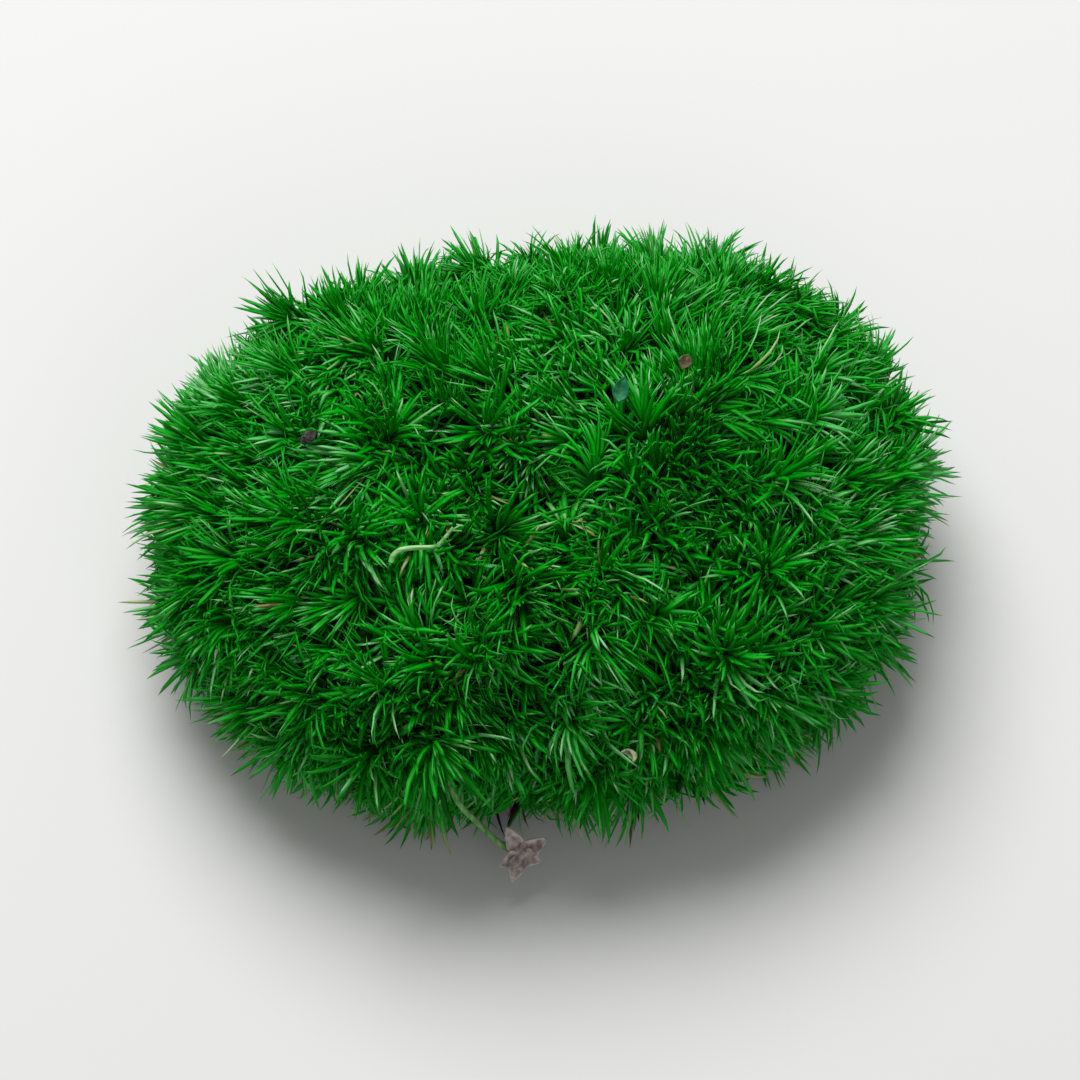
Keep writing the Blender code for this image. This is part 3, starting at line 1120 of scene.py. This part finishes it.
# %% The straw and the stalk
def pale_straw():
    """A straw with a joint in it, bent down at its left end and frayed at its right one."""
    centres = ring_centres("pale_straw")
    bent_end = centres[0] + np.array([-0.4, -0.9, -0.5]) * MM
    spine = eased(np.concatenate([[bent_end], centres[:3]]), 20)
    spine = np.concatenate([spine, np.linspace(centres[2], centres[3], 8)[1:]])
    t = np.linspace(0, 1, len(spine))
    joint = np.exp(-(((t - 0.72) / 0.035) ** 2))
    bm = bmesh.new()
    add_tube(bm, spine, (0.80 - 0.34 * t + 0.20 * joint) * MM)
    for aside, rise in ((-0.5, 0.1), (0.25, 0.5)):
        reach = spine[-1] + np.array([1.2, aside, rise]) * MM
        fibre = np.linspace(spine[-2], reach, 6)
        add_tube(bm, fibre, np.linspace(0.34, 0.08, 6) * MM, sides=5)
    return add_piece("pale_straw_stem", bm, DRY_STRAW, "pale_straw")


def calyx_stalk():
    """The stalk: it comes out of the moss, and thickens where it meets the flower from behind."""
    centres = ring_centres("calyx_stalk")
    hidden = centres[0] + np.array([-1.2, 3.0, 1.6]) * MM
    behind_star = np.array(middle_of("calyx_star")) + np.array([-1.2, 1.0, -2.2]) * MM
    spine = eased(np.concatenate([[hidden], centres, [behind_star]]), 30)
    t = np.linspace(0, 1, len(spine))
    bm = bmesh.new()
    add_tube(bm, spine, (0.80 + 0.36 * smooth(0.8, 1.0, t)) * MM)
    return add_piece("calyx_green_stalk", bm, GREEN_STALK, "calyx_stalk")


pale_straw()
calyx_stalk()


# %% A petal, and how it lies
def add_petal(bm, place, length, width, cup, bend, thick=0.16, widest=0.5):
    """Adds a closed petal to bm, pointed at both ends, that runs from place's origin along its +X.

    Lengths are in millimetres. cup lifts its sides, bend rolls it up along its length by that
    many radians, and widest is where it is widest, from 0 at its foot to 1 at its tip.
    """
    made = bmesh.ops.create_grid(bm, x_segments=10, y_segments=4, size=0.5)["verts"]
    for vert in made:
        t, side = vert.co.x + 0.5, 2 * vert.co.y
        half = 0.5 * width * math.sin(math.pi * t ** (math.log(0.5) / math.log(widest))) ** 0.8
        roll = max(bend * t, 1e-6)
        lift = cup * abs(side) ** 1.4 * half / width
        run = length * math.sin(roll) / bend
        rise = length * (1 - math.cos(roll)) / bend
        vert.co = Vector((run - lift * math.sin(roll), side * half, rise + lift * math.cos(roll)))
    bmesh.ops.scale(bm, verts=made, vec=(MM, MM, MM))
    bmesh.ops.remove_doubles(bm, verts=made, dist=1e-6)
    made = [v for v in made if v.is_valid]
    bmesh.ops.transform(bm, verts=made, matrix=place)
    faces = list(dict.fromkeys(f for v in made for f in v.link_faces))
    bmesh.ops.recalc_face_normals(bm, faces=faces)
    bmesh.ops.solidify(bm, geom=faces, thickness=thick * MM)


def lying(node, turn, back):
    """A matrix that lays a thing on the dome, its foot back millimetres from a node's middle."""
    middle = middle_of(node)
    normal = dome_tree.find_nearest(middle)[1]
    upright = Vector((0, 0, 1)).rotation_difference(normal).to_matrix().to_4x4()
    spin = Matrix.Rotation(math.radians(turn), 4, "Z")
    foot = Matrix.Translation((-back * MM, 0, 0))
    return Matrix.Translation(middle) @ upright @ spin @ foot


# %% The star, the chip and the scales
# The star leans this many degrees from level, to face the front.
CALYX_TILT = 38


def calyx_star():
    """Five sepals of unequal length round a small cup."""
    place = Matrix.Translation(middle_of("calyx_star") - Vector((0, 0, 1.0 * MM)))
    place = place @ Matrix.Rotation(math.radians(CALYX_TILT), 4, "X")
    bm = bmesh.new()
    for angle, reach in ((36, 4.2), (115, 4.5), (208, 3.2), (252, 3.9), (340, 2.6)):
        turned = place @ Matrix.Rotation(math.radians(angle), 4, "Z")
        add_petal(bm, turned, reach + 0.4, 2.4, 1.7, 0.75, widest=0.34)
    cup = bmesh.ops.create_icosphere(bm, subdivisions=3, radius=1.25 * MM)["verts"]
    bmesh.ops.scale(bm, verts=cup, vec=(1, 1, 0.5))
    bmesh.ops.transform(bm, verts=cup, matrix=place)
    return add_piece("calyx_sepals", bm, DRY_PETAL, "calyx_star")


def bark_chip():
    """A chip of bark: a ball squashed flat and broken up by noise."""
    bm = bmesh.new()
    bmesh.ops.create_icosphere(bm, subdivisions=4, radius=1.0 * MM)
    bmesh.ops.scale(bm, verts=bm.verts, vec=(1.25, 0.85, 0.45))
    points = places_of(bm.verts)
    rough = 0.12 * soft_noise(points, 1.2 * MM, 81) + 0.07 * soft_noise(points, 0.5 * MM, 82)
    bm.normal_update()
    for vert, push in zip(bm.verts, rough):
        vert.co += vert.normal * float(push) * MM
    bm.transform(lying("brown_flake", 25, 0))
    return add_piece("bark_chip", bm, BROWN_BARK, "brown_flake", smooth_angle=25)


def scrap(name, node, finish, turn, length, width, cup, bend, widest=0.5):
    """A single scale, husk or leaf that lies on the moss, turned by turn degrees."""
    bm = bmesh.new()
    add_petal(bm, lying(node, turn, length / 2), length, width, cup, bend, 0.2, widest)
    return add_piece(name, bm, finish, node)


calyx_star()
bark_chip()
scrap("bud_scale", "pink_flake", DRY_SCALE, 70, 2.2, 1.6, 1.2, 0.7)
scrap("chaff_husk", "pale_flake", PALE_CHAFF, 20, 4.6, 1.7, 1.4, 2.6)
scrap("small_leaf", "leaf_bit", LEAF_BIT, 75, 3.5, 2.0, 1.3, 0.5, 0.4)

# %% [markdown]
# ## The stage
#
# A pale floor, a broad soft light from above and behind, a weaker one from the front, and an even
# sky. The camera looks down at the clump at about 65 degrees from 1.2 metres, through a long lens.


# %% Floor, light and camera
LIT_SPOT = Vector((0, 0, 20 * MM))
SEEN_SPOT = Vector((0, 0, 18 * MM))


def stage_floor():
    """A wide sheet of pale matte paper."""
    bm = bmesh.new()
    bmesh.ops.create_grid(bm, x_segments=1, y_segments=1, size=3.0)
    mesh = bpy.data.meshes.new("stage_floor")
    bm.to_mesh(mesh)
    bm.free()
    paper, _, shader = new_material("floor_paper", roughness=0.9)
    shader.inputs["Base Color"].default_value = linear("#D2D2D0")
    mesh.materials.append(paper)
    floor = bpy.data.objects.new("stage_floor", mesh)
    bpy.context.scene.collection.objects.link(floor)


def soft_light(name, place, size, power):
    """A round soft light that shines on the clump's middle."""
    lamp = bpy.data.lights.new(name, "AREA")
    lamp.shape = "DISK"
    lamp.size = size
    lamp.energy = power
    holder = bpy.data.objects.new(name, lamp)
    holder.location = place
    holder.rotation_euler = (LIT_SPOT - Vector(place)).to_track_quat("-Z", "Y").to_euler()
    bpy.context.scene.collection.objects.link(holder)


def sky(strength):
    """An even white light from all round."""
    world = bpy.data.worlds.new("studio_sky")
    world.use_nodes = True
    world.node_tree.nodes["Background"].inputs["Color"].default_value = (1, 1, 1, 1)
    world.node_tree.nodes["Background"].inputs["Strength"].default_value = strength
    bpy.context.scene.world = world


def look_down(elevation, distance, lens):
    """A camera in front of the clump, elevation degrees above level, aimed at its middle."""
    tilt = math.radians(elevation)
    place = SEEN_SPOT + distance * Vector((0, -math.cos(tilt), math.sin(tilt)))
    camera = bpy.data.cameras.new("camera")
    camera.lens = lens
    holder = bpy.data.objects.new("camera", camera)
    holder.location = place
    holder.rotation_euler = (SEEN_SPOT - place).to_track_quat("-Z", "Y").to_euler()
    bpy.context.scene.collection.objects.link(holder)
    bpy.context.scene.camera = holder


stage_floor()
sky(0.28)
soft_light("key", (-0.15, 0.50, 0.9), size=0.8, power=14)
soft_light("fill", (0.3, -0.8, 0.7), size=0.6, power=1.2)
look_down(elevation=64.7, distance=1.21, lens=300)
bpy.context.scene.view_settings.view_transform = "Standard"
print("camera at", [round(v, 3) for v in bpy.context.scene.camera.location])
